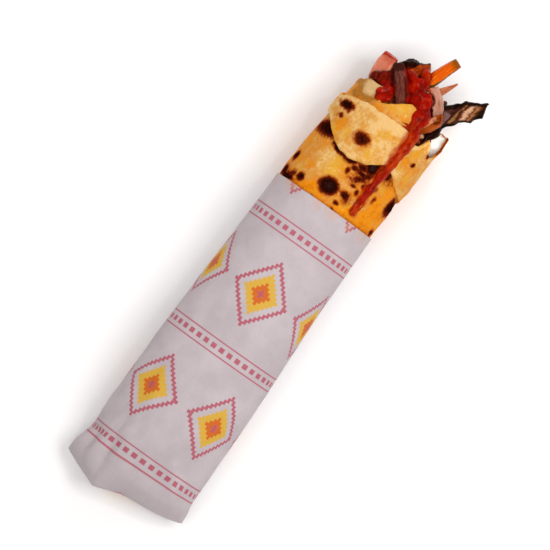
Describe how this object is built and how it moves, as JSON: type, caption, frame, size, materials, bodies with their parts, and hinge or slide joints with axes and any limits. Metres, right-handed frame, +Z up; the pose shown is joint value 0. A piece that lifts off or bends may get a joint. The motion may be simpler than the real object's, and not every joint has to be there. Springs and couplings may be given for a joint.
{
  "type": "durum wrap",
  "caption": "Rolled flatbread filled with grilled meat and vegetables, sauce dripping down its baked face, in a printed paper sleeve folded shut at one end.",
  "frame": {"origin": "on the surface it lies on, below the middle of its bounding box", "axes": "+X along the roll, from the folded paper end towards the open mouth; +Z up, towards the sauced side"},
  "size_m": [0.2798, 0.0742, 0.0489],
  "materials": {
    "paper": "matte",
    "bread": "matte",
    "sauce": "glossy",
    "mince": "moist",
    "meat": "moist",
    "crust": "charred",
    "glazed": "moist",
    "tomato": "moist",
    "carrot": "moist",
    "onion": "moist",
    "pepper": "moist",
    "charred": "charred"
  },
  "bodies": {
    "root": {"paper_sleeve": "paper", "flatbread": "bread", "sauce": "sauce", "sauce_dab": "sauce", "meat_slice": "meat", "onion_petal": "onion", "tomato_wedge": "tomato", "pepper_piece": "pepper", "meat_glazed": "glazed", "meat_crusted": "crust", "carrot_stick": "carrot", "onion_sliver": "onion", "meat_bit": "crust", "charred_strip": "charred", "meat_cube": "meat", "meat_corner": "crust", "tomato_low": "tomato", "onion_low": "onion", "pepper_low": "pepper", "meat_low": "meat", "filling_core": "mince"}
  },
  "joints": []
}
